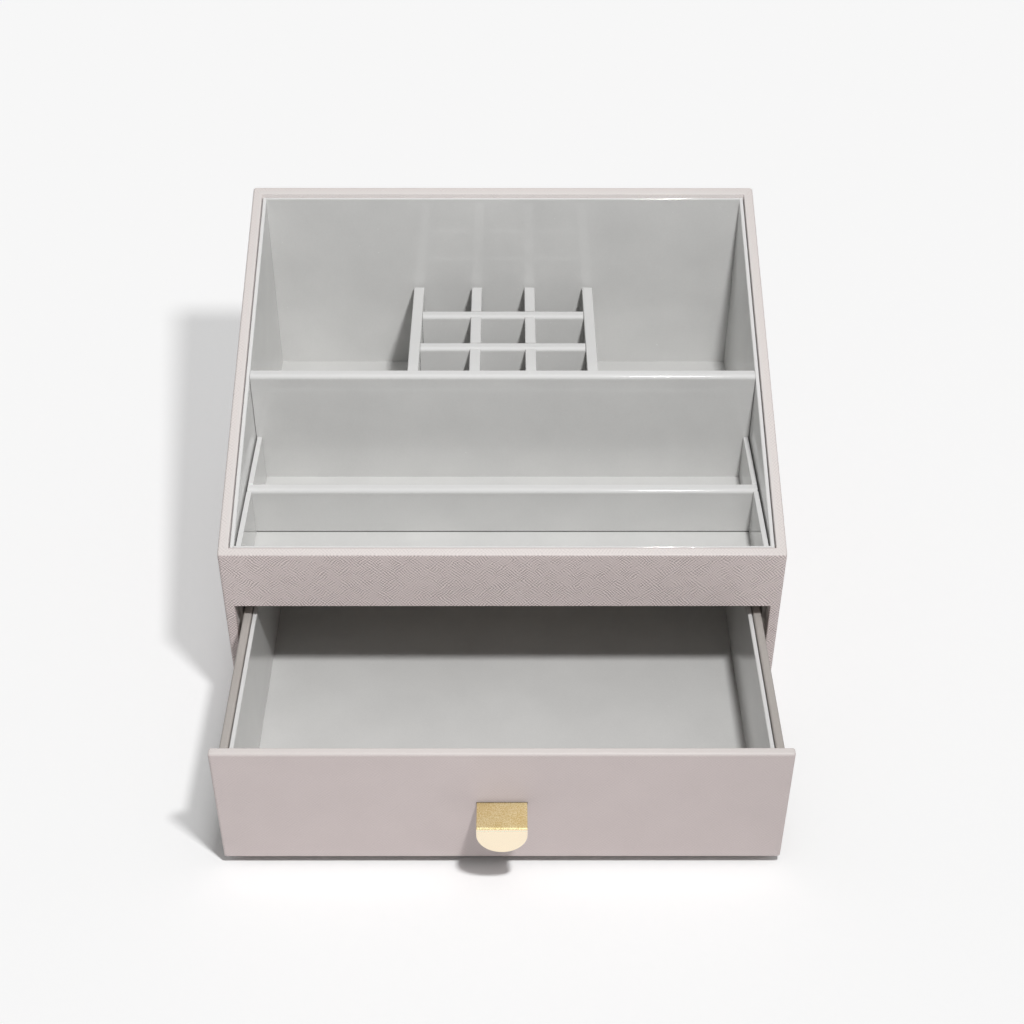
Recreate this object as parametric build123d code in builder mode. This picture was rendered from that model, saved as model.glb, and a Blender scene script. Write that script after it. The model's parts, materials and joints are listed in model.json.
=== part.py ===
from build123d import *
import os
from math import atan2, cos

# Makeup organizer: a wrapped board case with a sloping open top, lined trays and dividers,
# a lift-out grid for brushes, and one drawer below with a bent metal pull.
# Millimetres. +X to the right, +Y to the back, +Z up. The origin is the centre of the case's
# underside, on the surface that it stands on.

# Case
case_width = 250.0
case_depth = 196.0
back_height = 175.7
front_height = 99.7
board_thick = 3.6
apron_thick = 2.9
wrap_thick = 0.6
turn_in_thick = 0.4
rim_turn_in = 12.0
mouth_turn_in = 7.7
corner_radius = 1.3
rim_outer_radius = 1.0
rim_inner_radius = 0.5
mouth_radius = 0.5
apron_underside = 69.5

# Base
felt_thick = 0.6
felt_inset = 2.5
base_thick = 3.8

# Lining of the upper tray
liner_gap = 0.3
liner_thick = 1.9
end_liner_thick = 1.3
liner_drop = 1.8
front_liner_drop = 0.5
floor_liner_thick = 1.2
liner_edge_radius = 0.6

# Dividers and the thin side walls of the two front trays
divider_thick = 5.0
divider_edge_radius = 0.6
divider_front_radius = 2.0
rear_divider_y = -7.0
rear_divider_height = 59.2
rear_divider_gap = 0.2
middle_divider_y = -49.2
middle_divider_height = 24.4
middle_divider_gap = 0.7
middle_divider_foot_gap = 0.4
tray_wall_thick = 2.4
tray_wall_gap = 0.5
tray_wall_foot_gap = 0.3
tray_wall_corner_radius = 0.8
tray_wall_edge_radius = 0.4

# Brush grid
grid_thick = 5.3
grid_cross_thick = 5.2
grid_height = 47.4
grid_outer_x = 43.4
grid_partition_x = 13.6
grid_middle_cell = 24.1
grid_rear_cell = 23.4
grid_end_gap = 0.2
grid_back_gap = 2.1
grid_front_gap = 0.4
grid_foot_gap = 0.2
grid_edge_radius = 0.6
grid_cross_front_radius = 1.8
lap_gap = 0.1

# Drawer
drawer_open = 89.0
drawer_front_gap = 0.3
drawer_top_gap = 0.6
drawer_floor_gap = 0.3
drawer_side_gap = 0.8
drawer_back_gap = 0.5
drawer_board_thick = 3.0
drawer_corner_radius = 1.0
drawer_edge_radius = 1.2
drawer_foot_edge_radius = 0.5
drawer_turn_in = 10.0
bay_liner_thick = 2.4
drawer_side_thick = 3.7
drawer_side_height = 54.7
drawer_bottom_thick = 2.3
drawer_side_edge_radius = 1.0
drawer_liner_thick = 2.0
drawer_liner_gap = 0.3
drawer_liner_foot_gap = 0.3
drawer_liner_drop = 1.0

# Pull, bent from one strip of sheet
pull_thick = 1.2
pull_width = 21.2
pull_reach = 14.9
pull_top = 39.6
pull_lip_drop = 14.0
pull_flange_drop = 15.0
pull_bend_radius = 1.5
pull_inner_radius = 0.3
pull_edge_radius = 0.25
pull_slot_gap = 0.15

# Places worked out from the sizes above
half_width = case_width / 2
half_depth = case_depth / 2
slope = (back_height - front_height) / case_depth
wrap_drop = wrap_thick / cos(atan2(back_height - front_height, case_depth))
board_outer_x = half_width - wrap_thick
board_inner_x = board_outer_x - board_thick
board_outer_y = half_depth - wrap_thick
board_inner_y = board_outer_y - board_thick
apron_back_y = apron_thick - board_outer_y
rim_inner_x = board_inner_x - turn_in_thick
rim_inner_y = board_inner_y - turn_in_thick
rim_front_y = apron_back_y + turn_in_thick
wrap_foot = felt_thick
base_top = felt_thick + base_thick
mouth_back_y = -half_depth + mouth_turn_in
shelf_underside = apron_underside + wrap_thick
shelf_top = shelf_underside + board_thick
tray_floor = shelf_top + floor_liner_thick
liner_outer_x = rim_inner_x - liner_gap
liner_inner_x = liner_outer_x - liner_thick
back_liner_y = rim_inner_y - liner_gap
back_liner_inner_y = back_liner_y - end_liner_thick
front_liner_y = rim_front_y + liner_gap
front_liner_inner_y = front_liner_y + end_liner_thick
tray_wall_outer_x = liner_inner_x - tray_wall_gap
rear_divider_front = rear_divider_y - divider_thick / 2
rear_divider_back = rear_divider_y + divider_thick / 2
middle_divider_front = middle_divider_y - divider_thick / 2
middle_divider_back = middle_divider_y + divider_thick / 2
grid_foot = tray_floor + grid_foot_gap
grid_top = tray_floor + grid_height
grid_lap_z = (grid_foot + grid_top) / 2
grid_front_y = rear_divider_back + grid_front_gap
grid_back_y = back_liner_inner_y - grid_back_gap
grid_rear_cross_y = grid_back_y - grid_rear_cell - grid_cross_thick / 2
grid_front_cross_y = grid_rear_cross_y - grid_middle_cell - grid_cross_thick
grid_cross_boards = (("front", grid_front_cross_y), ("rear", grid_rear_cross_y))
bay_inner_x = board_inner_x - bay_liner_thick
drawer_front_half = rim_inner_x - drawer_front_gap
drawer_foot = base_top + drawer_floor_gap
drawer_front_top = apron_underside - drawer_top_gap
drawer_face_y = -half_depth - drawer_open
drawer_board_face_y = drawer_face_y + wrap_thick
drawer_board_back_y = drawer_board_face_y + drawer_board_thick
drawer_panel_back_y = drawer_board_back_y + turn_in_thick
drawer_end_y = board_inner_y - drawer_back_gap - drawer_open
drawer_outer_x = bay_inner_x - drawer_side_gap
drawer_inner_x = drawer_outer_x - drawer_side_thick
drawer_bottom_top = drawer_foot + drawer_bottom_thick
drawer_side_top = drawer_bottom_top + drawer_side_height
drawer_floor = drawer_bottom_top + floor_liner_thick
drawer_liner_foot = drawer_floor + drawer_liner_foot_gap
drawer_lining_x = drawer_inner_x - drawer_liner_gap
drawer_lining_inner_x = drawer_lining_x - drawer_liner_thick
drawer_lining_top = drawer_side_top - drawer_liner_drop
drawer_back_inner_y = drawer_end_y - drawer_side_thick
drawer_lining_end_y = drawer_back_inner_y - drawer_liner_gap
pull_front_y = drawer_face_y - pull_reach
pull_flange_back_y = drawer_board_back_y
pull_lip_low = pull_top - pull_lip_drop
pull_flange_low = pull_top - pull_flange_drop

SIDES = (("left", -1), ("right", 1))

os.makedirs("parts", exist_ok=True)


def rim_height(y):
    """Height of the case's sloping rim at a depth y."""
    return front_height + (y + half_depth) * slope


def save(piece, name):
    """Labels one finished piece and writes it."""
    piece.part.label = name
    export_step(piece.part, "parts/" + name + ".step")


def sloped_outline(y_front, y_back, z_low, drop):
    """Side view of something that runs up to a line parallel to the rim, in the active sketch."""
    Polygon(
        (y_front, z_low),
        (y_back, z_low),
        (y_back, rim_height(y_back) - drop),
        (y_front, rim_height(y_front) - drop),
        align=None,
    )


def box_outline(low, high):
    """Rectangle between two opposite corners, in the active sketch."""
    with Locations(((low[0] + high[0]) / 2, (low[1] + high[1]) / 2)):
        Rectangle(high[0] - low[0], high[1] - low[1])


def top_edges(piece):
    """The long straight edges of a piece's highest face."""
    return piece.faces().sort_by(Axis.Z)[-1].edges().filter_by(GeomType.LINE)


def round_top_corners(end_view, front_radius, back_radius):
    """Rounds the upper corners of a cross board's end view, the front one more than the back one."""
    fillet(end_view.vertices().group_by(Axis.Y)[-1].sort_by(Axis.X)[-1], back_radius)
    fillet(end_view.vertices().group_by(Axis.Y)[-1].sort_by(Axis.X)[0], front_radius)


# Case: the bare boards

with BuildPart() as base_felt:
    with BuildSketch(Plane.XY) as felt_outline:
        Rectangle(case_width - 2 * felt_inset, case_depth - 2 * felt_inset)
        fillet(felt_outline.vertices(), felt_inset)
    extrude(amount=felt_thick)
save(base_felt, "base_felt")

with BuildPart() as base_board:
    with BuildSketch(Plane.XY.offset(felt_thick)):
        box_outline((-rim_inner_x, -board_outer_y), (rim_inner_x, board_inner_y))
    extrude(amount=base_thick)
save(base_board, "base_board")

side_boards = []
for side_name, side in SIDES:
    with BuildPart() as side_board:
        with BuildSketch(Plane.YZ.offset(side * board_inner_x)):
            sloped_outline(-board_outer_y, board_outer_y, felt_thick, wrap_drop)
        extrude(amount=side * board_thick)
    save(side_board, side_name + "_side_board")
    side_boards.append(side_board)

with BuildPart() as back_board:
    with BuildSketch(Plane.YZ.offset(-board_inner_x)):
        sloped_outline(board_inner_y, board_outer_y, felt_thick, wrap_drop)
    extrude(amount=2 * board_inner_x)
save(back_board, "back_board")

with BuildPart() as apron_board:
    with BuildSketch(Plane.YZ.offset(-board_inner_x)):
        sloped_outline(-board_outer_y, apron_back_y, shelf_underside, wrap_drop)
    extrude(amount=2 * board_inner_x)
save(apron_board, "apron_board")

with BuildPart() as shelf_board:
    with BuildSketch(Plane.XY.offset(shelf_underside)):
        box_outline((-board_inner_x, apron_back_y), (board_inner_x, board_inner_y))
    extrude(amount=board_thick)
save(shelf_board, "shelf_board")

# Case: one skin of leatherette over the boards, turned in over the rim and round the drawer's mouth

with BuildPart() as case_wrap:
    with BuildSketch(Plane.YZ.offset(-half_width)):
        sloped_outline(-half_depth, half_depth, wrap_foot, 0)
    extrude(amount=case_width)
    fillet(case_wrap.edges().filter_by(Axis.Z), corner_radius)
    fillet(case_wrap.faces().sort_by(Axis.Z)[-1].edges(), rim_outer_radius)
    # the open tray inside the rim
    with BuildSketch(Plane.YZ.offset(-rim_inner_x)):
        sloped_outline(rim_front_y, rim_inner_y, shelf_top, -board_thick)
    extrude(amount=2 * rim_inner_x, mode=Mode.SUBTRACT)
    fillet(
        case_wrap.edges()
        .filter_by_position(Axis.X, -rim_inner_x - 0.01, rim_inner_x + 0.01)
        .filter_by(lambda edge: abs(edge.center().Z - rim_height(edge.center().Y)) < 0.01),
        rim_inner_radius,
    )
    # the drawer's mouth between the apron and the base board
    with BuildSketch(Plane.XZ.offset(half_depth)):
        box_outline((-rim_inner_x, base_top), (rim_inner_x, apron_underside))
    extrude(amount=-case_depth / 2, mode=Mode.SUBTRACT)
    fillet(
        case_wrap.faces().sort_by(Axis.Y)[0].edges()
        .filter_by_position(Axis.X, -rim_inner_x - 0.01, rim_inner_x + 0.01)
        .filter_by_position(Axis.Z, base_top + 0.01, apron_underside + 0.01),
        mouth_radius,
    )
    # below the turned-in band the boards are bare: the chamber round the tray's lining
    with BuildSketch(Plane.YZ.offset(-board_inner_x)):
        sloped_outline(apron_back_y, board_inner_y, shelf_underside, rim_turn_in)
    extrude(amount=2 * board_inner_x, mode=Mode.SUBTRACT)
    # and the drawer's bay behind the mouth
    with BuildSketch(Plane.XY.offset(wrap_foot)):
        box_outline((-board_inner_x, mouth_back_y), (board_inner_x, board_inner_y))
    extrude(amount=shelf_underside - wrap_foot, mode=Mode.SUBTRACT)
    # the boards themselves fill the rest
    add(base_board.part, mode=Mode.SUBTRACT)
    add(side_boards[0].part, mode=Mode.SUBTRACT)
    add(side_boards[1].part, mode=Mode.SUBTRACT)
    add(back_board.part, mode=Mode.SUBTRACT)
    add(apron_board.part, mode=Mode.SUBTRACT)
save(case_wrap, "case_wrap")

# Drawer bay: a guide board on each side, which also carries the shelf

for side_name, side in SIDES:
    with BuildPart() as bay_liner:
        with BuildSketch(Plane.XY.offset(base_top)):
            box_outline((min(side * bay_inner_x, side * board_inner_x), mouth_back_y),
                        (max(side * bay_inner_x, side * board_inner_x), board_inner_y))
        extrude(amount=shelf_underside - base_top)
    save(bay_liner, "bay_" + side_name + "_liner")

# Lining of the tray: floor, two sides with sloping tops, back and front

with BuildPart() as tray_floor_liner:
    with BuildSketch(Plane.XY.offset(shelf_top)):
        box_outline((-board_inner_x, apron_back_y), (board_inner_x, board_inner_y))
    extrude(amount=floor_liner_thick)
save(tray_floor_liner, "tray_floor_liner")

for side_name, side in SIDES:
    with BuildPart() as side_liner:
        with BuildSketch(Plane.YZ.offset(side * liner_inner_x)):
            sloped_outline(front_liner_y, back_liner_y, tray_floor, liner_drop)
        extrude(amount=side * liner_thick)
        sloping_top = side_liner.faces().sort_by(Axis.Z)[-1]
        fillet(sloping_top.edges().filter_by(Axis.X, reverse=True), liner_edge_radius)
    save(side_liner, "tray_" + side_name + "_liner")

back_liner_top = rim_height(rim_inner_y) - liner_drop
with BuildPart() as back_liner:
    with BuildSketch(Plane.XY.offset(tray_floor)):
        box_outline((-liner_inner_x, back_liner_inner_y), (liner_inner_x, back_liner_y))
    extrude(amount=back_liner_top - tray_floor)
    fillet(top_edges(back_liner).filter_by(Axis.X), liner_edge_radius)
save(back_liner, "tray_back_liner")

front_liner_top = rim_height(rim_front_y) - front_liner_drop
with BuildPart() as front_liner:
    with BuildSketch(Plane.XY.offset(tray_floor)):
        box_outline((-liner_inner_x, front_liner_y), (liner_inner_x, front_liner_inner_y))
    extrude(amount=front_liner_top - tray_floor)
    fillet(top_edges(front_liner).filter_by(Axis.X), liner_edge_radius)
save(front_liner, "tray_front_liner")

# Dividers: the tall one in front of the brush compartment, the low one between the front trays

with BuildPart() as rear_divider:
    with BuildSketch(Plane.YZ.offset(rear_divider_gap - liner_inner_x)) as divider_end:
        box_outline((rear_divider_front, tray_floor), (rear_divider_back, tray_floor + rear_divider_height))
        round_top_corners(divider_end, divider_front_radius, divider_edge_radius)
    extrude(amount=2 * (liner_inner_x - rear_divider_gap))
save(rear_divider, "rear_divider")

with BuildPart() as middle_divider:
    with BuildSketch(Plane.YZ.offset(middle_divider_gap - liner_inner_x)) as divider_end:
        box_outline((middle_divider_front, tray_floor + middle_divider_foot_gap),
                    (middle_divider_back, tray_floor + middle_divider_height))
        round_top_corners(divider_end, divider_front_radius, divider_edge_radius)
    extrude(amount=2 * (liner_inner_x - middle_divider_gap))
save(middle_divider, "middle_divider")

# Thin side walls that line the ends of the two front trays, level with the middle divider

tray_wall_spans = (
    ("middle", middle_divider_back, rear_divider_front),
    ("front", front_liner_inner_y, middle_divider_front),
)
for tray_name, wall_front, wall_back in tray_wall_spans:
    for side_name, side in SIDES:
        with BuildPart() as tray_wall:
            with BuildSketch(Plane.YZ.offset(side * tray_wall_outer_x)) as wall_side:
                box_outline((wall_front, tray_floor + tray_wall_foot_gap),
                            (wall_back, tray_floor + middle_divider_height))
                fillet(wall_side.vertices().group_by(Axis.Y)[-1], tray_wall_corner_radius)
            extrude(amount=-side * tray_wall_thick)
            long_top = tray_wall.edges().filter_by(Axis.Y).group_by(Axis.Z)[-1]
            fillet(long_top, tray_wall_edge_radius)
        save(tray_wall, tray_name + "_tray_" + side_name + "_wall")

# Brush grid: two outer walls, and two partitions half-lapped with two cross boards

for side_name, side in SIDES:
    with BuildPart() as grid_wall:
        with BuildSketch(Plane.XY.offset(grid_foot)):
            box_outline((side * grid_outer_x - grid_thick / 2, grid_front_y),
                        (side * grid_outer_x + grid_thick / 2, grid_back_y))
        extrude(amount=grid_top - grid_foot)
        fillet(top_edges(grid_wall), grid_edge_radius)
    save(grid_wall, "grid_" + side_name + "_wall")

for side_name, side in SIDES:
    with BuildPart() as partition:
        with BuildSketch(Plane.XY.offset(grid_foot)):
            box_outline((side * grid_partition_x - grid_thick / 2, grid_front_y),
                        (side * grid_partition_x + grid_thick / 2, grid_back_y))
        extrude(amount=grid_top - grid_foot)
        fillet(top_edges(partition), grid_edge_radius)
        # a slot from above to half height for each cross board
        with BuildSketch(Plane.XY.offset(grid_lap_z - lap_gap)):
            for cross_name, cross_y in grid_cross_boards:
                with Locations((side * grid_partition_x, cross_y)):
                    Rectangle(2 * grid_thick, grid_cross_thick + 2 * lap_gap)
        extrude(amount=grid_height, mode=Mode.SUBTRACT)
    save(partition, "grid_" + side_name + "_partition")

cross_half_length = grid_outer_x - grid_thick / 2 - grid_end_gap
for cross_name, cross_y in grid_cross_boards:
    with BuildPart() as cross_board:
        with BuildSketch(Plane.YZ.offset(-cross_half_length)) as cross_end:
            box_outline((cross_y - grid_cross_thick / 2, grid_foot), (cross_y + grid_cross_thick / 2, grid_top))
            round_top_corners(cross_end, grid_cross_front_radius, grid_edge_radius)
        extrude(amount=2 * cross_half_length)
        # a slot from below to half height over each partition
        with BuildSketch(Plane.XY.offset(grid_foot)):
            with Locations((-grid_partition_x, cross_y), (grid_partition_x, cross_y)):
                Rectangle(grid_thick + 2 * lap_gap, 2 * grid_cross_thick)
        extrude(amount=grid_lap_z + lap_gap - grid_foot, mode=Mode.SUBTRACT)
    save(cross_board, "grid_" + cross_name + "_cross_board")

# Drawer front: board core with the pull's slot, and the recess that takes its bent-over tail

slot_half = pull_width / 2 + pull_slot_gap
with BuildPart() as drawer_front_board:
    with BuildSketch(Plane.XZ.offset(-drawer_board_face_y)):
        box_outline((wrap_thick - drawer_front_half, drawer_foot + wrap_thick),
                    (drawer_front_half - wrap_thick, drawer_front_top - wrap_thick))
    extrude(amount=-drawer_board_thick)
    with BuildSketch(Plane.XZ.offset(-drawer_board_face_y)):
        box_outline((-slot_half, pull_top - pull_thick - pull_slot_gap),
                    (slot_half, pull_top + pull_slot_gap))
    extrude(amount=-drawer_board_thick, mode=Mode.SUBTRACT)
    with BuildSketch(Plane.XZ.offset(-drawer_board_back_y)):
        box_outline((-slot_half, pull_flange_low - pull_slot_gap),
                    (slot_half, pull_top + pull_slot_gap))
    extrude(amount=pull_thick + pull_slot_gap, mode=Mode.SUBTRACT)
save(drawer_front_board, "drawer_front_board")

with BuildPart() as drawer_front_wrap:
    with BuildSketch(Plane.XZ.offset(-drawer_face_y)) as panel_outline:
        box_outline((-drawer_front_half, drawer_foot), (drawer_front_half, drawer_front_top))
        fillet(panel_outline.vertices().group_by(Axis.Y)[-1], drawer_corner_radius)
    extrude(amount=drawer_face_y - drawer_panel_back_y)
    face_edges = drawer_front_wrap.faces().sort_by(Axis.Y)[0].edges().sort_by(Axis.Z)
    fillet(face_edges[0], drawer_foot_edge_radius)
    face_edges = drawer_front_wrap.faces().sort_by(Axis.Y)[0].edges().sort_by(Axis.Z)
    fillet(face_edges[1:], drawer_edge_radius)
    fillet(drawer_front_wrap.faces().sort_by(Axis.Y)[-1].edges().sort_by(Axis.Z)[1:], drawer_corner_radius)
    # the back is open inside a turned-in border
    with BuildSketch(Plane.XZ.offset(-drawer_panel_back_y)):
        box_outline((drawer_turn_in - drawer_front_half, drawer_foot + drawer_turn_in),
                    (drawer_front_half - drawer_turn_in, drawer_front_top - drawer_turn_in))
    extrude(amount=turn_in_thick, mode=Mode.SUBTRACT)
    with BuildSketch(Plane.XZ.offset(-drawer_face_y)):
        box_outline((-slot_half, pull_top - pull_thick - pull_slot_gap),
                    (slot_half, pull_top + pull_slot_gap))
    extrude(amount=-wrap_thick, mode=Mode.SUBTRACT)
    with BuildSketch(Plane.XZ.offset(-drawer_board_face_y)):
        box_outline((wrap_thick - drawer_front_half, drawer_foot + wrap_thick),
                    (drawer_front_half - wrap_thick, drawer_front_top - wrap_thick))
    extrude(amount=-drawer_board_thick, mode=Mode.SUBTRACT)
save(drawer_front_wrap, "drawer_front_wrap")

# Drawer box: bottom, two sides and a back

with BuildPart() as drawer_bottom:
    with BuildSketch(Plane.XY.offset(drawer_foot)):
        box_outline((-drawer_outer_x, drawer_panel_back_y), (drawer_outer_x, drawer_end_y))
    extrude(amount=drawer_bottom_thick)
save(drawer_bottom, "drawer_bottom")

for side_name, side in SIDES:
    with BuildPart() as drawer_side:
        with BuildSketch(Plane.XY.offset(drawer_bottom_top)):
            box_outline((min(side * drawer_inner_x, side * drawer_outer_x), drawer_panel_back_y),
                        (max(side * drawer_inner_x, side * drawer_outer_x), drawer_end_y))
        extrude(amount=drawer_side_height)
        fillet(top_edges(drawer_side).filter_by(Axis.Y), drawer_side_edge_radius)
    save(drawer_side, "drawer_" + side_name + "_side")

with BuildPart() as drawer_back:
    with BuildSketch(Plane.XY.offset(drawer_bottom_top)):
        box_outline((-drawer_inner_x, drawer_back_inner_y), (drawer_inner_x, drawer_end_y))
    extrude(amount=drawer_side_height)
    fillet(top_edges(drawer_back).filter_by(Axis.X), drawer_side_edge_radius)
save(drawer_back, "drawer_back")

# Drawer lining: floor, sides between front and back, then the short front and back pieces

with BuildPart() as drawer_floor_liner:
    with BuildSketch(Plane.XY.offset(drawer_bottom_top)):
        box_outline((-drawer_lining_x, drawer_panel_back_y), (drawer_lining_x, drawer_lining_end_y))
    extrude(amount=floor_liner_thick)
save(drawer_floor_liner, "drawer_floor_liner")

for side_name, side in SIDES:
    with BuildPart() as drawer_side_liner:
        with BuildSketch(Plane.XY.offset(drawer_liner_foot)):
            box_outline((min(side * drawer_lining_inner_x, side * drawer_lining_x), drawer_panel_back_y),
                        (max(side * drawer_lining_inner_x, side * drawer_lining_x), drawer_lining_end_y))
        extrude(amount=drawer_lining_top - drawer_liner_foot)
        fillet(top_edges(drawer_side_liner).filter_by(Axis.Y), liner_edge_radius)
    save(drawer_side_liner, "drawer_" + side_name + "_liner")

drawer_end_liners = (
    ("front", drawer_panel_back_y, drawer_panel_back_y + drawer_liner_thick),
    ("back", drawer_lining_end_y - drawer_liner_thick, drawer_lining_end_y),
)
for end_name, y_low, y_high in drawer_end_liners:
    with BuildPart() as drawer_end_liner:
        with BuildSketch(Plane.XY.offset(drawer_liner_foot)):
            box_outline((-drawer_lining_inner_x, y_low), (drawer_lining_inner_x, y_high))
        extrude(amount=drawer_lining_top - drawer_liner_foot)
        fillet(top_edges(drawer_end_liner).filter_by(Axis.X), liner_edge_radius)
    save(drawer_end_liner, "drawer_" + end_name + "_liner")

# Pull: a strip bent twice, through the slot and down behind the front, and down into a D-shaped lip

with BuildPart() as drawer_pull:
    with BuildSketch(Plane.YZ.offset(-pull_width / 2)) as strip:
        with BuildLine():
            Polyline(
                (pull_flange_back_y, pull_flange_low),
                (pull_flange_back_y, pull_top),
                (pull_front_y, pull_top),
                (pull_front_y, pull_lip_low),
                (pull_front_y + pull_thick, pull_lip_low),
                (pull_front_y + pull_thick, pull_top - pull_thick),
                (pull_flange_back_y - pull_thick, pull_top - pull_thick),
                (pull_flange_back_y - pull_thick, pull_flange_low),
                close=True,
            )
        make_face()
        fillet(strip.vertices().group_by(Axis.Y)[-1], pull_bend_radius)
        fillet(
            strip.vertices().filter_by_position(
                Axis.Y, pull_top - pull_thick - 0.01, pull_top - pull_thick + 0.01
            ),
            pull_inner_radius,
        )
    extrude(amount=pull_width)
    # the lip's lower corners are cut away to a half round
    lip_radius = pull_width / 2
    lip_centre_z = pull_lip_low + lip_radius
    with BuildSketch(Plane.XZ.offset(-pull_front_y)):
        box_outline((-lip_radius, pull_lip_low), (lip_radius, lip_centre_z))
        with Locations((0, lip_centre_z)):
            Circle(lip_radius, mode=Mode.SUBTRACT)
    extrude(amount=-pull_thick, mode=Mode.SUBTRACT)
    lip_face = drawer_pull.faces().filter_by(Axis.Y).sort_by(Axis.Y)[0]
    fillet(lip_face.edges().filter_by(GeomType.CIRCLE), pull_edge_radius)
save(drawer_pull, "drawer_pull")
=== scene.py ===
import json
import math

import bpy
from mathutils import Matrix, Vector


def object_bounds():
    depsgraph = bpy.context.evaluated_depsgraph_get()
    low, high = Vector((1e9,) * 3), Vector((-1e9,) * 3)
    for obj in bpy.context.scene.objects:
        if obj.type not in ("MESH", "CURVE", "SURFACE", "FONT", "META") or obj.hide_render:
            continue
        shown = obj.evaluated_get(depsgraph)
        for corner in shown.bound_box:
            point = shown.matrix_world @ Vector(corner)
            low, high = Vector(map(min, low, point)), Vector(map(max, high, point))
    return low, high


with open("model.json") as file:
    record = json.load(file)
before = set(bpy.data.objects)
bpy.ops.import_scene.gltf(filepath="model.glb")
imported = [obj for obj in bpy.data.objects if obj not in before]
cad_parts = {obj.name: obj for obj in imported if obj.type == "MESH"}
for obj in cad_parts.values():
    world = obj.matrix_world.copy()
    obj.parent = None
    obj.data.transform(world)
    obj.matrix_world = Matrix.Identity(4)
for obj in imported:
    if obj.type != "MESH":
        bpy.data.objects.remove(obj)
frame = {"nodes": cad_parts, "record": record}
cad_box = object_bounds()
nodes = frame["nodes"]

MM = 0.001

# Camera: the photograph's place, pitch and lens, in the frame's metres and degrees
CAMERA_PLACE = (0.0027, -0.6484, 0.5675)
CAMERA_PITCH = 38.86
CAMERA_YAW = 0.159
CAMERA_ROLL = 0.10
CAMERA_LENS = 58.0
SENSOR_WIDTH = 36.0

# Colours, linear
BLUSH = (0.925, 0.814, 0.798)
BLUSH_DARK = (0.515, 0.44, 0.431)
BLUSH_PAINTED_TOP_SHEEN = (0.668, 0.63, 0.608)
BLUSH_INSIDE = (0.75, 0.705, 0.69)
LINING = (0.66, 0.657, 0.645)
LINING_DARK = (0.60, 0.598, 0.588)
# The drawer's floor lining: a lighter copy of the lining, as painted light for the brighter light
# in the open drawer
DRAWER_LINING_PAINTED_LIGHT = (0.715, 0.712, 0.70)
DRAWER_LINING_DARK_PAINTED_LIGHT = (0.655, 0.652, 0.641)
LINING_SPECK = (0.85, 0.85, 0.84)
LINING_PAINTED_TOP_LIGHT = (0.685, 0.682, 0.675)
LINING_PAINTED_SLIT_SHADOW = (0.10, 0.098, 0.095)
TAUPE = (0.455, 0.425, 0.40)
TAUPE_DARK = (0.385, 0.355, 0.33)
GOLD = (1.0, 0.90, 0.55)
GOLD_DARK = (0.76, 0.56, 0.23)
# Painted highlight: the lip's paler gold
GOLD_LIP_PAINTED_HIGHLIGHT = (1.0, 0.87, 0.665)
BOARD = (0.24, 0.19, 0.145)
BOARD_DARK = (0.17, 0.13, 0.10)
FELT = (0.34, 0.30, 0.28)
FELT_DARK = (0.25, 0.22, 0.205)
FLOOR = (0.75, 0.75, 0.75)
BACKGROUND = (0.93, 0.93, 0.93)
WHITE = (1.0, 1.0, 1.0)
BLACK = (0.0, 0.0, 0.0)

# Noise values that a two-colour mix is spread over
TONE_SPREAD = (0.3, 0.7)
# Noise values that a roughness is spread over
FINE_SPREAD = (0.2, 0.8)

# Leatherette: the crossed grain. Scales are noise scales, per metre.
GRAIN_PITCH = 1.14 * MM
GRAIN_DEPTH = 0.08 * MM
# The grain's tone is partly the skin's own and partly painted shade in the grooves and painted
# highlight on the ridges
GRAIN_TONE_AND_PAINTED_SHADE = 1.15
GRAIN_ON_TOP = 0.3
GRAIN_WAVER = 2.7 * MM
FALLING_WAVER_SCALE = 180.0
RISING_WAVER_SCALE = 205.0
PATCH_SCALE = 185.0
PATCH_EDGE = (0.44, 0.56)
ONE_WAY_SHARE = 0.5
BOTH_WAYS_SHARE = 0.5
BREAK_SCALE = 290.0
BREAK_SPREAD = (0.36, 0.68)
BREAK_GAIN = (0.25, 1.6)

# Leatherette: pores, dents and wear
PORE_SCALE = 2400.0
PORE_RELIEF = 0.3
PORE_TONE = 0.3
DENT_SCALE = 16.0
DENT_STRENGTH = 0.2
DENT_DEPTH = 0.5 * MM
WEAR_SCALE = 55.0
WEAR_TONE = 0.16
LEATHERETTE_ROUGHNESS = (0.42, 0.55)
LEATHERETTE_SPECULAR = 0.4

# Leatherette: how the case and the drawer's front differ; the front's extra lightness is painted
# light, for the brighter light on it
CASE_GRAIN_SHARE = 1.0
CASE_LIGHTER = 0.08
FRONT_GRAIN_SHARE = 0.07
FRONT_PAINTED_LIGHT = 0.255

# The skin's band that is turned in over the rim
RIM_BAND = 3.0 * MM
INSIDE_SHARE = 0.9

# Painted shade: the darker line where the front rim's skin dips down to the lining
FRONT_RIM = 3.9 * MM
SIDE_RIM = 4.6 * MM
DIP_REACH = 1.0 * MM
DIP_FULL = 0.4 * MM
DIP_PAST = 0.1 * MM

# Painted sheen: faces that turn upwards look paler and greyer, by the height of their normal
UPWARD_SPREAD = (0.02, 0.8)
PAINTED_TOP_SHEEN_SHARE = 0.8

# Lining
SHEET_WAVE_SCALE = 6.0
SHEET_WAVE_STRENGTH = 0.15
SHEET_WAVE_DEPTH = 1.0 * MM
COAT_SCALE = 1300.0
COAT_STRENGTH = 0.12
COAT_DEPTH = 0.02 * MM
COAT_TONE = 0.3
CLOUD_SCALE = 35.0
CLOUD_TONE = 0.7
SPECK_SCALE = 520.0
SPECK_EDGE = (0.76, 0.80)
SPECK_SHARE = 0.5
LINING_ROUGHNESS = (0.035, 0.06)
LINING_SPECULAR = 0.5

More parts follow.
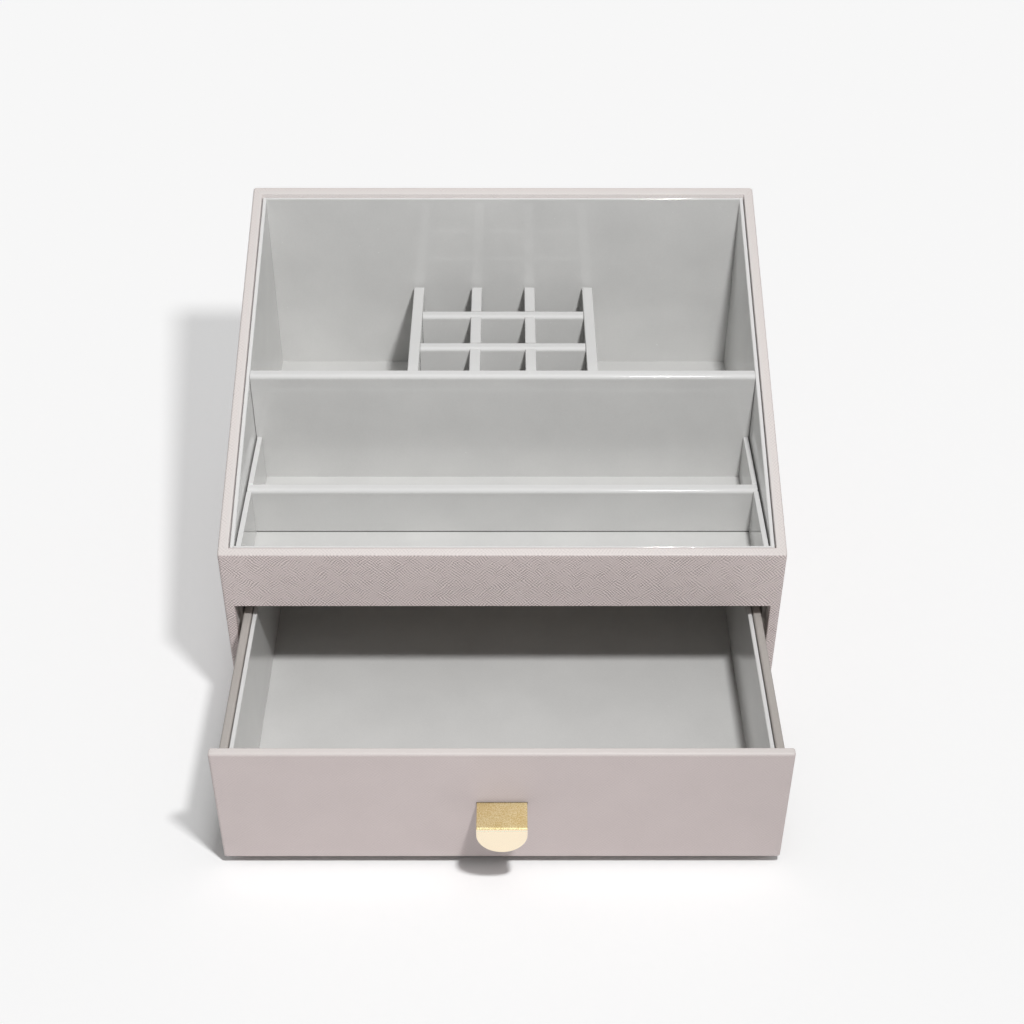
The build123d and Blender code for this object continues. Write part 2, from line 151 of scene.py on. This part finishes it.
# Dividers: rounder and duller along the top, with a painted shadow for the dark slit under the
# middle one
DIVIDERS = ("rear_divider", "middle_divider")
DIVIDER_ROUND = 0.8 * MM
DIVIDER_SEGMENTS = 5
DIVIDER_TOP_ROUGHNESS = 0.07
DIVIDER_TOP_DULLER = 0.38
SLIT_SHADOW_REACH = 0.25 * MM
SLIT_SHADOW_SHARE = 0.85

# Taupe paper
TAUPE_FIBRE_SCALE = 1500.0
TAUPE_FIBRE_TONE = 0.4
TAUPE_CLOUD_SCALE = 20.0
TAUPE_CLOUD_TONE = 0.6
TAUPE_RELIEF = 0.3
TAUPE_DEPTH = 0.05 * MM
TAUPE_ROUGHNESS = 0.6

# Board cores
BOARD_FIBRE_SCALE = 900.0
BOARD_RELIEF = 0.4
BOARD_DEPTH = 0.08 * MM
BOARD_ROUGHNESS = 0.8

# Felt
FELT_FIBRE_SCALE = 1400.0
FELT_TANGLE = 1.5
FELT_RELIEF = 0.7
FELT_DEPTH = 0.2 * MM
FELT_ROUGHNESS = 0.95
FELT_SHEEN = 0.3

# Pull
LIP_BEND = 0.5 * MM
LIP_BLEND = 0.2 * MM
PLATE_RISE = 0.12
GOLD_GRAIN_SCALE = 2100.0
GOLD_GRAIN_TONE = 0.75
GOLD_GRAIN_DEPTH = 0.01 * MM
PLATE_GRAIN_STRENGTH = 0.3
LIP_GRAIN_STRENGTH = 0.05
GOLD_CLOUD_SCALE = 160.0
GOLD_CLOUD_TONE = 0.25
GOLD_TONE_SPREAD = (0.38, 0.62)
GOLD_ROUGHNESS_SPREAD = (0.3, 0.7)
GOLD_ROUGHNESS = (0.10, 0.18)
THROWN_LIGHT = (0.62, 0.593, 0.581)
THROWN_ROUGHNESS = 0.3
THROWN_REAR = 3.0 * MM
THROWN_REAR_BLEND = 2.0 * MM

# Softened edges
EDGE_ROUND = 0.3 * MM
EDGE_SEGMENTS = 3
EDGE_ANGLE = 40.0
WELD_REACH = 0.005 * MM
KEPT_AS_MADE = ("case_wrap", "drawer_front_wrap", "drawer_pull")

# Light, in metres and watts
KEY_PLACE = (0.148, -0.425, 0.7277)
KEY_AIM = Vector((-0.596, 0.745, -0.298)).normalized()
KEY_RADIUS = 0.036
KEY_POWER = 6.1
SKY_TOP = 0.45

# Floor. The two lights on it follow from the lamp and the sky.
FLOOR_HALF = 6.0
KEY_ON_FLOOR = KEY_POWER * KEY_PLACE[2] / math.pi ** 2
SKY_ON_FLOOR = SKY_TOP * 2 / 3
LIFT_REACH = 9.0 * MM
SHADOW_SHARE = 0.638
SKY_SEEN = 0.896

# A face counts as turned to an axis when its normal's share of that axis is above this
FACING = 0.707


class Tree:
    """Short calls for building the shader nodes of one material or world."""

    def __init__(self, owner, output="ShaderNodeOutputMaterial"):
        owner.use_nodes = True
        self.owner = owner
        self.tree = owner.node_tree
        self.tree.nodes.clear()
        self.output = self.add(output)
        self.coordinates = self.add("ShaderNodeTexCoord")
        self.place = self.coordinates.outputs["Object"]

    def add(self, kind, **settings):
        node = self.tree.nodes.new(kind)
        for key, value in settings.items():
            setattr(node, key, value)
        return node

    def link(self, source, target):
        self.tree.links.new(source, target)

    def feed(self, socket, value):
        """Links the value if it is another node's output, or writes it into the socket."""
        if hasattr(value, "is_linked"):
            self.link(value, socket)
        else:
            socket.default_value = value

    def split(self, vector):
        """The X, Y and Z of a vector."""
        node = self.add("ShaderNodeSeparateXYZ")
        self.link(vector, node.inputs[0])
        return node.outputs

    def math(self, operation, *values):
        node = self.add("ShaderNodeMath", operation=operation)
        for socket, value in zip(node.inputs, values):
            self.feed(socket, value)
        return node.outputs[0]

    def plus(self, first, second):
        return self.math("ADD", first, second)

    def minus(self, first, second):
        return self.math("SUBTRACT", first, second)

    def times(self, first, second):
        return self.math("MULTIPLY", first, second)

    def around_zero(self, value, share):
        """A value round a half, moved to round zero and scaled to a share."""
        return self.times(self.minus(value, 0.5), share)

    def noise(self, scale, detail=3.0, roughness=0.5, distortion=0.0):
        node = self.add("ShaderNodeTexNoise")
        self.link(self.place, node.inputs["Vector"])
        node.inputs["Scale"].default_value = scale
        node.inputs["Detail"].default_value = detail
        node.inputs["Roughness"].default_value = roughness
        node.inputs["Distortion"].default_value = distortion
        return node.outputs["Fac"]

    def remap(self, value, low, high, to_low=0.0, to_high=1.0):
        node = self.add("ShaderNodeMapRange")
        self.feed(node.inputs["Value"], value)
        node.inputs["From Min"].default_value = low
        node.inputs["From Max"].default_value = high
        node.inputs["To Min"].default_value = to_low
        node.inputs["To Max"].default_value = to_high
        return node.outputs["Result"]

    def mix_colour(self, factor, first, second):
        node = self.add("ShaderNodeMix", data_type="RGBA")
        self.feed(node.inputs["Factor"], factor)
        self.feed(node.inputs["A"], first)
        self.feed(node.inputs["B"], second)
        return node.outputs["Result"]

    def mix_value(self, factor, first, second):
        node = self.add("ShaderNodeMix", data_type="FLOAT")
        self.feed(node.inputs["Factor"], factor)
        self.feed(node.inputs["A"], first)
        self.feed(node.inputs["B"], second)
        return node.outputs["Result"]

    def mix_shader(self, factor, first, second):
        node = self.add("ShaderNodeMixShader")
        self.link(factor, node.inputs[0])
        self.link(first.outputs[0], node.inputs[1])
        self.link(second.outputs[0], node.inputs[2])
        return node

    def bump(self, height, strength, distance, normal=None):
        node = self.add("ShaderNodeBump")
        self.feed(node.inputs["Height"], height)
        self.feed(node.inputs["Strength"], strength)
        node.inputs["Distance"].default_value = distance
        if normal is not None:
            self.link(normal, node.inputs["Normal"])
        return node.outputs["Normal"]

    def surface(self, colour, roughness, normal, **settings):
        """Ends the material in one shader. Settings name its other sockets, with _ for a space."""
        shader = self.add("ShaderNodeBsdfPrincipled")
        self.feed(shader.inputs["Base Color"], colour)
        self.feed(shader.inputs["Roughness"], roughness)
        self.link(normal, shader.inputs["Normal"])
        for key, value in settings.items():
            self.feed(shader.inputs[key.replace("_", " ")], value)
        self.link(shader.outputs[0], self.output.inputs["Surface"])
        return self.owner


def material_tree(name):
    return Tree(bpy.data.materials.new(name))


def rgba(colour):
    return (*colour, 1.0)


def box_of(name):
    """Lowest and highest corner of one CAD node."""
    corners = [vertex.co for vertex in nodes[name].data.vertices]
    low = [min(corner[axis] for corner in corners) for axis in range(3)]
    high = [max(corner[axis] for corner in corners) for axis in range(3)]
    return low, high


def face_plane(t):
    """Two coordinates, in metres, that lie in the face, for faces that look along X, Y or Z."""
    x, y, z = t.split(t.place)
    normal = t.split(t.add("ShaderNodeNewGeometry").outputs["True Normal"])
    looks_x = t.math("GREATER_THAN", t.math("ABSOLUTE", normal[0]), FACING)
    looks_z = t.math("GREATER_THAN", t.math("ABSOLUTE", normal[2]), FACING)
    return t.mix_value(looks_x, x, y), t.mix_value(looks_z, z, y)


def upward(t, share=PAINTED_TOP_SHEEN_SHARE):
    """0 on upright faces, rising to the share on those that look up."""
    normal = t.split(t.add("ShaderNodeNewGeometry").outputs["Normal"])
    return t.remap(normal[2], *UPWARD_SPREAD, 0.0, share)


def ridges(t, across, waver_scale):
    """Wavering ridges that follow each other along the given coordinate, -1 to 1."""
    waver = t.around_zero(t.noise(waver_scale, detail=1.0), GRAIN_WAVER)
    turns = 2 * math.pi / (GRAIN_PITCH * math.sqrt(2))
    return t.math("SINE", t.times(t.plus(across, waver), turns))


def crossed_grain(t):
    """Crossed ridges, 0 to 1, stronger along one diagonal here and along the other there."""
    u, v = face_plane(t)
    falling = ridges(t, t.plus(u, v), FALLING_WAVER_SCALE)
    rising = ridges(t, t.minus(u, v), RISING_WAVER_SCALE)
    patches = t.remap(t.noise(PATCH_SCALE, detail=1.0), *PATCH_EDGE)
    one_way = t.mix_value(patches, falling, rising)
    both_ways = t.times(t.plus(falling, rising), BOTH_WAYS_SHARE)
    grain = t.plus(t.times(one_way, ONE_WAY_SHARE), both_ways)
    breaks = t.remap(t.noise(BREAK_SCALE, detail=2.0), *BREAK_SPREAD, *BREAK_GAIN)
    return t.plus(t.times(t.times(grain, breaks), 0.5), 0.5)


def rim_inside(t):
    """1 on the band that is turned in over the rim, 0 outside, for points of the case's skin."""
    x, y, _ = t.split(t.place)
    (_, low_y, _), (high_x, high_y, _) = box_of("case_wrap")
    inside = t.math("LESS_THAN", t.math("ABSOLUTE", x), high_x - RIM_BAND)
    inside = t.times(inside, t.math("LESS_THAN", y, high_y - RIM_BAND))
    return t.times(inside, t.math("GREATER_THAN", y, low_y + RIM_BAND))


def front_dip_painted_shade(t):
    """1 where painted shade darkens the front rim's skin as it dips down to the lining, 0
    elsewhere.
    """
    x, y, _ = t.split(t.place)
    (_, low_y, _), (high_x, _, _) = box_of("case_wrap")
    edge = low_y + FRONT_RIM
    dips = t.remap(y, edge - DIP_REACH, edge - DIP_FULL)
    dips = t.times(dips, t.math("LESS_THAN", y, edge + DIP_PAST))
    return t.times(dips, t.math("LESS_THAN", t.math("ABSOLUTE", x), high_x - SIDE_RIM))


def leatherette(name, share, lighter):
    """Blush leatherette with a fine crossed grain, pressed to a share of its full depth."""
    t = material_tree(name)
    grain = crossed_grain(t)
    pores = t.noise(PORE_SCALE, detail=2.0, roughness=0.6)
    wear = t.noise(WEAR_SCALE)

    normal = t.bump(t.noise(DENT_SCALE, detail=2.0), DENT_STRENGTH, DENT_DEPTH)
    relief = t.plus(grain, t.times(pores, PORE_RELIEF))
    pressed = t.minus(1.0, upward(t, 1.0 - GRAIN_ON_TOP))
    normal = t.bump(relief, pressed, GRAIN_DEPTH * share, normal)

    # Bright ridges and dark grooves: partly the grain's own tone, partly painted shade and painted
    # highlight of the relief
    tone = t.plus(t.around_zero(grain, GRAIN_TONE_AND_PAINTED_SHADE * share), 0.5 + lighter)
    tone = t.plus(tone, t.around_zero(wear, WEAR_TONE))
    tone = t.plus(tone, t.around_zero(pores, PORE_TONE))
    colour = t.mix_colour(t.remap(tone, 0.0, 1.0), rgba(BLUSH_DARK), rgba(BLUSH))
    inside = t.times(rim_inside(t), INSIDE_SHARE)
    colour = t.mix_colour(inside, colour, rgba(BLUSH_INSIDE))
    # Painted sheen: the faces that look up are paler and greyer
    colour = t.mix_colour(upward(t), colour, rgba(BLUSH_PAINTED_TOP_SHEEN))
    # Painted shade along the front rim's inner edge
    colour = t.mix_colour(front_dip_painted_shade(t), colour, rgba(BLUSH_DARK))
    roughness = t.remap(pores, *FINE_SPREAD, *LEATHERETTE_ROUGHNESS)
    return t.surface(colour, roughness, normal, Specular_IOR_Level=LEATHERETTE_SPECULAR)


def lining(name, painted_top_light_share, colours=(LINING, LINING_DARK), top_look=(0.0, 0.0), slit_shadow=None):
    """Smooth light grey coated board, half glossy.

    Its top edges are paler by a share, as painted light, and rougher and less shiny by the two
    values of top_look.
    A slit shadow, from one y to another, is painted shadow: the dark line under a board that
    stands there."""
    t = material_tree(name)
    light, dark = colours
    coat = t.noise(COAT_SCALE, detail=2.0, roughness=0.6)
    specks = t.remap(t.noise(SPECK_SCALE, detail=2.0), *SPECK_EDGE)

    sheet_wave = t.noise(SHEET_WAVE_SCALE, detail=1.0)
    normal = t.bump(sheet_wave, SHEET_WAVE_STRENGTH, SHEET_WAVE_DEPTH)
    normal = t.bump(coat, COAT_STRENGTH, COAT_DEPTH, normal)

    tone = t.plus(t.times(t.noise(CLOUD_SCALE), CLOUD_TONE), t.times(coat, COAT_TONE))
    colour = t.mix_colour(t.remap(tone, *TONE_SPREAD), rgba(dark), rgba(light))
    # Painted light: the tops are paler
    colour = t.mix_colour(upward(t, painted_top_light_share), colour, rgba(LINING_PAINTED_TOP_LIGHT))
    colour = t.mix_colour(t.times(specks, SPECK_SHARE), colour, rgba(LINING_SPECK))
    if slit_shadow is not None:
        y = t.split(t.place)[1]
        within = t.times(t.math("GREATER_THAN", y, slit_shadow[0]), t.math("LESS_THAN", y, slit_shadow[1]))
        # Painted shadow: the dark line under the board that stands there
        colour = t.mix_colour(t.times(within, SLIT_SHADOW_SHARE), colour, rgba(LINING_PAINTED_SLIT_SHADOW))

    rougher, duller = top_look
    roughness = t.plus(t.remap(coat, *FINE_SPREAD, *LINING_ROUGHNESS), upward(t, rougher))
    specular = t.minus(LINING_SPECULAR, upward(t, duller))
    return t.surface(colour, roughness, normal, Specular_IOR_Level=specular)


def taupe_paper():
    """Matt taupe covering paper with a little fibre."""
    t = material_tree("taupe_paper")
    fibre = t.noise(TAUPE_FIBRE_SCALE, detail=4.0, roughness=0.65)
    cloud = t.noise(TAUPE_CLOUD_SCALE)
    tone = t.plus(t.times(fibre, TAUPE_FIBRE_TONE), t.times(cloud, TAUPE_CLOUD_TONE))
    colour = t.mix_colour(t.remap(tone, *TONE_SPREAD), rgba(TAUPE_DARK), rgba(TAUPE))
    return t.surface(colour, TAUPE_ROUGHNESS, t.bump(fibre, TAUPE_RELIEF, TAUPE_DEPTH))


def board_core():
    """Brown fibreboard."""
    t = material_tree("board_core")
    fibre = t.noise(BOARD_FIBRE_SCALE, detail=4.0, roughness=0.7)
    colour = t.mix_colour(t.remap(fibre, *TONE_SPREAD), rgba(BOARD_DARK), rgba(BOARD))
    return t.surface(colour, BOARD_ROUGHNESS, t.bump(fibre, BOARD_RELIEF, BOARD_DEPTH))


def felt():
    """Short grey-brown felt."""
    t = material_tree("felt")
    fibre = t.noise(FELT_FIBRE_SCALE, detail=5.0, roughness=0.75, distortion=FELT_TANGLE)
    colour = t.mix_colour(t.remap(fibre, *TONE_SPREAD), rgba(FELT_DARK), rgba(FELT))
    normal = t.bump(fibre, FELT_RELIEF, FELT_DEPTH)
    return t.surface(colour, FELT_ROUGHNESS, normal, Sheen_Weight=FELT_SHEEN)


def gold():
    """Satin gold plating with a fine grain; the plate mirrors as if it rose towards the drawer.

    The light that it throws on matt pieces is neutral and soft, and the plate's rear end throws
    none: in the photograph the drawer's front is grey just above the plate, not golden."""
    t = material_tree("gold")
    thrown = t.add("ShaderNodeLightPath").outputs["Is Diffuse Ray"]
    seen = t.minus(1.0, thrown)
    grain = t.noise(GOLD_GRAIN_SCALE, detail=1.0, roughness=0.6)
    cloud = t.noise(GOLD_CLOUD_SCALE, detail=2.0)
    _, y, z = t.split(t.place)
    lip = pull_lip(t, z)

    tone = t.plus(t.times(grain, GOLD_GRAIN_TONE), t.times(cloud, GOLD_CLOUD_TONE))
    colour = t.mix_colour(t.remap(tone, *GOLD_TONE_SPREAD), rgba(GOLD_DARK), rgba(GOLD))
    # Painted highlight: the lip is a paler gold, for its bright washed-out reflection
    colour = t.mix_colour(lip, colour, rgba(GOLD_LIP_PAINTED_HIGHLIGHT))
    rear = box_of("drawer_front_wrap")[0][1] - THROWN_REAR
    at_rear = t.remap(y, rear, rear + THROWN_REAR_BLEND)
    thrown_colour = t.mix_colour(at_rear, rgba(THROWN_LIGHT), rgba(BLACK))
    colour = t.mix_colour(thrown, colour, thrown_colour)

    roughness = t.remap(grain, *GOLD_ROUGHNESS_SPREAD, *GOLD_ROUGHNESS)
    roughness = t.mix_value(thrown, roughness, THROWN_ROUGHNESS)
    normal = t.bump(y, seen, PLATE_RISE)
    grain_strength = t.remap(lip, 0.0, 1.0, PLATE_GRAIN_STRENGTH, LIP_GRAIN_STRENGTH)
    normal = t.bump(grain, t.times(seen, grain_strength), GOLD_GRAIN_DEPTH, normal)
    return t.surface(colour, roughness, normal, Metallic=1.0)


def pull_lip(t, z):
    """1 on the pull's lip, 0 on its flat plate."""
    lip_top = box_of("drawer_pull")[1][2] - LIP_BEND
    return t.remap(z, lip_top + LIP_BLEND, lip_top)


def dress(name, material):
    """Puts one material on one CAD node."""
    for slot in nodes[name].material_slots:
        slot.material = material


def dress_nodes():
    """Gives every CAD node the detailed material of its slot, and some a version of their own."""
    made = {
        "leatherette": leatherette("leatherette", CASE_GRAIN_SHARE, CASE_LIGHTER),
        "lining": lining("lining", painted_top_light_share=1.0),
        "taupe_paper": taupe_paper(),
        "board": board_core(),
        "felt": felt(),
        "gold": gold(),
    }
    for entry in frame["record"]["subparts"]:
        dress(entry["node"], made[entry["material_slot"]])

    # The drawer's front: weaker grain, and lighter by painted light
    front = leatherette("leatherette_front_painted_light", FRONT_GRAIN_SHARE, FRONT_PAINTED_LIGHT)
    dress("drawer_front_wrap", front)

    # Painted shadow on the tray's floor, under the middle divider
    low, high = box_of("middle_divider")
    slit_shadow = (low[1] - SLIT_SHADOW_REACH, high[1] + SLIT_SHADOW_REACH)
    dress("tray_floor_liner", lining("lining_floor", painted_top_light_share=0.0, slit_shadow=slit_shadow))

    top_look = (DIVIDER_TOP_ROUGHNESS, DIVIDER_TOP_DULLER)
    dividers = lining("lining_dividers", painted_top_light_share=1.0, top_look=top_look)
    for name in DIVIDERS:
        dress(name, dividers)

    # Painted light: the drawer's floor gets a lighter copy of the lining
    colours = (DRAWER_LINING_PAINTED_LIGHT, DRAWER_LINING_DARK_PAINTED_LIGHT)
    drawer_floor = lining("lining_drawer_floor_painted_light", painted_top_light_share=0.0, colours=colours)
    dress("drawer_floor_liner", drawer_floor)


def soften(name, width, segments):
    """Rounds a board's sharp edges a little, as a wrapped or cut edge is."""
    obj = nodes[name]
    weld = obj.modifiers.new("weld", "WELD")
    weld.merge_threshold = WELD_REACH
    bevel = obj.modifiers.new("bevel", "BEVEL")
    bevel.width = width
    bevel.segments = segments
    bevel.limit_method = "ANGLE"
    bevel.angle_limit = math.radians(EDGE_ANGLE)
    normals = obj.modifiers.new("normals", "WEIGHTED_NORMAL")
    normals.keep_sharp = False


def soften_nodes():
    """Softens every board; the skins and the pull keep the edges that they are made with."""
    for name in nodes:
        if name in DIVIDERS:
            soften(name, DIVIDER_ROUND, DIVIDER_SEGMENTS)
        elif name not in KEPT_AS_MADE:
            soften(name, EDGE_ROUND, EDGE_SEGMENTS)


def make_camera():
    """The photograph's camera."""
    data = bpy.data.cameras.new("camera")
    data.lens = CAMERA_LENS
    data.sensor_width = SENSOR_WIDTH
    camera = bpy.data.objects.new("camera", data)
    bpy.context.scene.collection.objects.link(camera)
    turn = Matrix.Rotation(math.radians(-CAMERA_YAW), 4, "Z")
    tilt = Matrix.Rotation(math.radians(90 - CAMERA_PITCH), 4, "X")
    roll = Matrix.Rotation(math.radians(CAMERA_ROLL), 4, "Z")
    camera.matrix_world = Matrix.Translation(CAMERA_PLACE) @ turn @ tilt @ roll
    bpy.context.scene.camera = camera


def make_lamp():
    """One fairly near round lamp to the front right."""
    data = bpy.data.lights.new("key", "AREA")
    data.shape = "DISK"
    data.size = 2 * KEY_RADIUS
    data.energy = KEY_POWER
    key = bpy.data.objects.new("key", data)
    bpy.context.scene.collection.objects.link(key)
    key.location = KEY_PLACE
    key.rotation_euler = KEY_AIM.to_track_quat("-Z", "Y").to_euler()


def make_sky():
    """A soft sky that is brightest overhead; the camera, metal and gloss see a plain pale one."""
    world = bpy.data.worlds.new("studio")
    bpy.context.scene.world = world
    t = Tree(world, "ShaderNodeOutputWorld")
    climb = t.split(t.coordinates.outputs["Generated"])[2]
    soft = t.add("ShaderNodeBackground")
    soft.inputs["Color"].default_value = rgba(WHITE)
    t.feed(soft.inputs["Strength"], t.remap(climb, 0.0, 1.0, 0.0, SKY_TOP))
    plain = t.add("ShaderNodeBackground")
    plain.inputs["Color"].default_value = rgba(BACKGROUND)
    path = t.add("ShaderNodeLightPath").outputs
    seen = t.math("MAXIMUM", path["Is Camera Ray"], path["Is Glossy Ray"])
    seen = t.math("MAXIMUM", seen, path["Is Transmission Ray"])
    t.link(t.mix_shader(seen, soft, plain).outputs[0], t.output.inputs["Surface"])


def make_floor():
    """A wide flat floor, which isn't part of the object."""
    data = bpy.data.meshes.new("floor")
    signs = ((-1, -1), (1, -1), (1, 1), (-1, 1))
    corners = [(x * FLOOR_HALF, y * FLOOR_HALF, 0.0) for x, y in signs]
    data.from_pydata(corners, [], [(0, 1, 2, 3)])
    floor = bpy.data.objects.new("floor", data)
    bpy.context.scene.collection.objects.link(floor)
    data.materials.append(floor_material())


def floor_material():
    """A pale floor, evened out for the camera and for gloss, so that only a shadow marks it."""
    t = material_tree("floor")
    light = floor_light(t)
    evened = t.add("ShaderNodeBsdfDiffuse")
    t.link(t.math("DIVIDE", BACKGROUND[0], light), evened.inputs["Color"])
    plain = t.add("ShaderNodeEmission")
    plain.inputs["Color"].default_value = rgba(BACKGROUND)
    shown = t.mix_shader(floor_lift(t, light), evened, plain)

    real = t.add("ShaderNodeBsdfDiffuse")
    real.inputs["Color"].default_value = rgba(FLOOR)
    path = t.add("ShaderNodeLightPath").outputs
    seen = t.math("MAXIMUM", path["Is Camera Ray"], path["Is Glossy Ray"])
    t.link(t.mix_shader(seen, real, shown).outputs[0], t.output.inputs["Surface"])
    return t.owner


def floor_light(t):
    """The light on the open floor: the lamp's, which thins out with distance, and the sky's.

    The lamp's falls with the fourth power: two for the distance, and one for each of the two
    slants, the ray's to the lamp's axis and the ray's to the floor."""
    away = t.add("ShaderNodeVectorMath", operation="SUBTRACT")
    t.link(t.place, away.inputs[0])
    away.inputs[1].default_value = KEY_PLACE
    reach = t.add("ShaderNodeVectorMath", operation="LENGTH")
    t.link(away.outputs[0], reach.inputs[0])
    along = t.add("ShaderNodeVectorMath", operation="DOT_PRODUCT")
    t.link(away.outputs[0], along.inputs[0])
    along.inputs[1].default_value = KEY_AIM
    in_front = t.math("MAXIMUM", along.outputs["Value"], 0.0)
    fall = t.math("DIVIDE", in_front, t.math("POWER", reach.outputs["Value"], 4.0))
    return t.plus(t.times(fall, KEY_ON_FLOOR), SKY_ON_FLOOR)


def floor_lift(t, light):
    """How much the floor's shade is lifted: not at all under the object, more further out."""
    x, y, _ = t.split(t.place)
    (low_x, low_y, _), (high_x, high_y, _) = cad_box
    out_x = t.math("MAXIMUM", t.minus(low_x, x), t.minus(x, high_x))
    out_y = t.math("MAXIMUM", t.minus(low_y, y), t.minus(y, high_y))
    out = t.math("MAXIMUM", t.math("MAXIMUM", out_x, out_y), 0.0)
    near = t.math("EXPONENT", t.math("DIVIDE", out, -LIFT_REACH))
    shade = t.math("DIVIDE", SKY_ON_FLOOR * SKY_SEEN, light)
    wanted = t.math("DIVIDE", t.minus(SHADOW_SHARE, shade), t.minus(1.0, shade))
    return t.times(t.minus(1.0, near), wanted)


dress_nodes()
soften_nodes()
make_camera()
make_lamp()
make_sky()
make_floor()
bpy.context.scene.view_settings.view_transform = "Standard"
